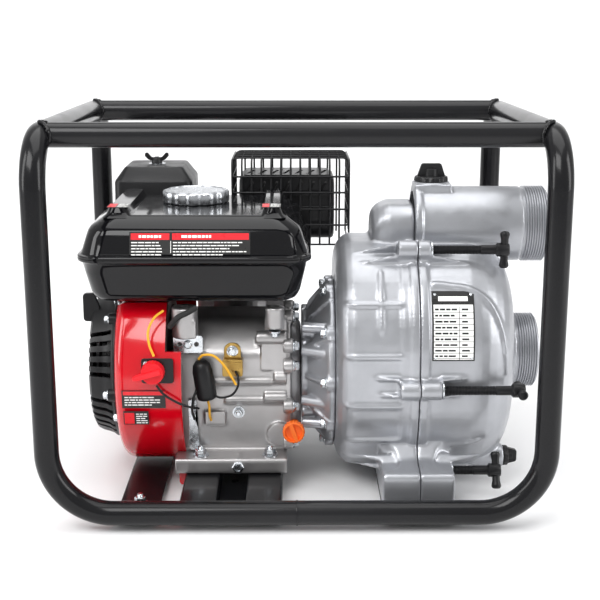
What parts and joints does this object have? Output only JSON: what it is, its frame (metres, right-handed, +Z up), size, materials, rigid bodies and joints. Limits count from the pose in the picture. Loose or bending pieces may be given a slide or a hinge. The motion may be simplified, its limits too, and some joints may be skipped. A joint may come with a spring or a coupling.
{
  "type": "petrol water pump",
  "caption": "Self-priming petrol water pump in an open bent-tube carrying frame, with threaded suction and discharge ports facing one side.",
  "frame": {"origin": "floor level under the middle of the bounding box", "axes": "+Z up, +X from the engine towards the pump's ports, -Y is the operator's side"},
  "size_m": [0.563, 0.4498, 0.4258],
  "materials": {
    "frame_paint": "gloss black powder coat",
    "tank_paint": "high gloss black enamel",
    "red_paint": "high gloss red enamel",
    "silver_paint": "silver paint on cast aluminium, satin gloss",
    "cast_aluminium": "bare die-cast aluminium, fine grain",
    "steel": "machined steel",
    "zinc": "bright zinc plate",
    "gold_zinc": "yellow passivated zinc plate",
    "cap_chrome": "polished metal with a lined top",
    "black_plastic": "moulded black plastic, fine texture",
    "hot_black": "heat-proof satin black",
    "rubber": "black rubber",
    "orange_plastic": "orange moulded plastic",
    "red_plastic": "red moulded plastic",
    "yellow_wire": "yellow wire insulation",
    "foam": "filter foam"
  },
  "bodies": {
    "root": {"frame_hoop_left": "frame_paint", "frame_hoop_right": "frame_paint", "frame_top_rail_front": "frame_paint", "frame_top_rail_rear": "frame_paint", "base_strip_left": "frame_paint", "pump_base_strip": "frame_paint", "engine_base_channel": "frame_paint", "foot_front_left": "rubber", "foot_front_right": "rubber", "foot_rear_left": "rubber", "foot_rear_right": "rubber", "mechanical_seal": "rubber", "cover_gasket": "rubber", "crankcase": "cast_aluminium", "crankcase_side_cover": "cast_aluminium", "cylinder_head": "cast_aluminium", "piston": "cast_aluminium", "carburettor": "cast_aluminium", "volute": "cast_aluminium", "valve_cover": "hot_black", "muffler": "hot_black", "muffler_guard": "hot_black", "fan_cover": "red_paint", "starter_housing": "black_plastic", "air_filter_base": "black_plastic", "air_filter_cover": "black_plastic", "engine_switch_plate": "black_plastic", "diode_sleeve": "black_plastic", "wire_switch_earth": "black_plastic", "fuel_tank_upper": "tank_paint", "fuel_tank_lower": "tank_paint", "oil_sensor_box": "gold_zinc", "air_filter_element": "foam", "wire_switch_live": "yellow_wire", "wire_sensor": "yellow_wire", "pump_adaptor": "silver_paint", "pump_casing": "silver_paint", "pump_cover": "silver_paint"},
    "crank": {"crankshaft": "steel", "flywheel": "cast_aluminium", "impeller": "cast_aluminium"},
    "cam": {"camshaft": "steel"},
    "reel": {"starter_reel": "black_plastic"},
    "starter_grip": {"starter_handle": "black_plastic"},
    "tank_cap": {"fuel_cap": "cap_chrome"},
    "switch_knob": {"engine_switch_knob": "red_plastic"},
    "choke": {"choke_lever": "black_plastic"},
    "fuel_cock": {"fuel_cock_lever": "black_plastic"},
    "throttle": {"throttle_lever": "zinc"},
    "governor": {"governor_arm": "zinc"},
    "dipstick": {"oil_dipstick": "orange_plastic"},
    "plug_cap": {"spark_plug_cap": "rubber"},
    "filter_nut": {"air_filter_wing_nut": "zinc"},
    "clamp_top": {"clamp_screw_top": "hot_black"},
    "clamp_front": {"clamp_screw_front": "hot_black"},
    "clamp_low": {"clamp_screw_low": "hot_black"},
    "clamp_rear": {"clamp_screw_rear": "hot_black"},
    "prime_plug": {"priming_plug": "black_plastic"},
    "water_drain": {"drain_plug": "black_plastic"},
    "flap": {"check_valve_flap": "rubber"}
  },
  "joints": [
    {"name": "crank_spin", "type": "hinge", "parent": "root", "child": "crank", "pos_m": [-0.0065, -0.022, 0.132], "axis": [1, 0, 0], "continuous": true},
    {"name": "cam_spin", "type": "hinge", "parent": "root", "child": "cam", "pos_m": [-0.0065, -0.04613, 0.09021], "axis": [1, 0, 0], "continuous": true},
    {"name": "starter_pull", "type": "slide", "parent": "root", "child": "starter_grip", "axis": [0, 1, 0], "range_m": [0, 0.5], "stiffness_N_per_m": 20},
    {"name": "reel_spin", "type": "hinge", "parent": "root", "child": "reel", "pos_m": [-0.0065, -0.022, 0.132], "axis": [1, 0, 0], "range_deg": [-540, 0]},
    {"name": "fuel_cap_turn", "type": "hinge", "parent": "root", "child": "tank_cap", "pos_m": [-0.1245, 0, 0.3203], "axis": [0, 0, 1], "range_deg": [0, 90]},
    {"name": "switch_turn", "type": "hinge", "parent": "root", "child": "switch_knob", "pos_m": [-0.1635, -0.1403, 0.154], "axis": [0, -1, 0], "range_deg": [0, 60]},
    {"name": "choke_turn", "type": "hinge", "parent": "root", "child": "choke", "pos_m": [-0.1748, 0.122, 0.218], "axis": [-1, 0, 0], "range_deg": [0, 70]},
    {"name": "fuel_cock_turn", "type": "hinge", "parent": "root", "child": "fuel_cock", "pos_m": [-0.1748, 0.108, 0.202], "axis": [-1, 0, 0], "range_deg": [-90, 0]},
    {"name": "throttle_turn", "type": "hinge", "parent": "root", "child": "throttle", "pos_m": [-0.1555, 0.0997, 0.214], "axis": [0, 1, 0], "range_deg": [0, 45]},
    {"name": "governor_turn", "type": "hinge", "parent": "root", "child": "governor", "pos_m": [-0.1245, -0.094, 0.052], "axis": [0, 1, 0], "range_deg": [-15, 0]},
    {"name": "dipstick_turn", "type": "hinge", "parent": "root", "child": "dipstick", "pos_m": [-0.01, -0.0973, 0.072], "axis": [0, -1, 0], "range_deg": [0, 720]},
    {"name": "plug_cap_pull", "type": "slide", "parent": "root", "child": "plug_cap", "axis": [0, 0.4226, -0.9063], "range_m": [0, 0.03]},
    {"name": "filter_nut_turn", "type": "hinge", "parent": "root", "child": "filter_nut", "pos_m": [-0.186, 0.1425, 0.3483], "axis": [0, 0, 1], "range_deg": [0, 1080]},
    {"name": "clamp_top_turn", "type": "hinge", "parent": "root", "child": "clamp_top", "pos_m": [0.1415, -0.095, 0.28], "axis": [1, 0, 0], "range_deg": [0, 1440]},
    {"name": "clamp_front_turn", "type": "hinge", "parent": "root", "child": "clamp_front", "pos_m": [0.1505, -0.158, 0.137], "axis": [1, 0, 0], "range_deg": [0, 1440]},
    {"name": "clamp_low_turn", "type": "hinge", "parent": "root", "child": "clamp_low", "pos_m": [0.1645, -0.142, 0.039], "axis": [1, 0, 0], "range_deg": [0, 1440]},
    {"name": "clamp_rear_turn", "type": "hinge", "parent": "root", "child": "clamp_rear", "pos_m": [0.1505, 0.118, 0.137], "axis": [1, 0, 0], "range_deg": [0, 1440]},
    {"name": "priming_plug_turn", "type": "hinge", "parent": "root", "child": "prime_plug", "pos_m": [0.1495, -0.015, 0.3463], "axis": [0, 0, 1], "range_deg": [0, 1080]},
    {"name": "drain_plug_turn", "type": "hinge", "parent": "root", "child": "water_drain", "pos_m": [0.2338, -0.08, 0.033], "axis": [1, 0, 0], "range_deg": [0, 1080]},
    {"name": "check_valve_swing", "type": "hinge", "parent": "root", "child": "flap", "pos_m": [0.2187, -0.015, 0.19095], "axis": [0, 1, 0], "range_deg": [0, 55]}
  ],
  "couplings": [
    {"joint": "cam_spin", "follows": "crank_spin", "ratio": -0.5},
    {"joint": "reel_spin", "follows": "starter_pull", "rad_per_m": -18.5},
    {"joint": "governor_turn", "follows": "throttle_turn", "ratio": -0.3}
  ]
}
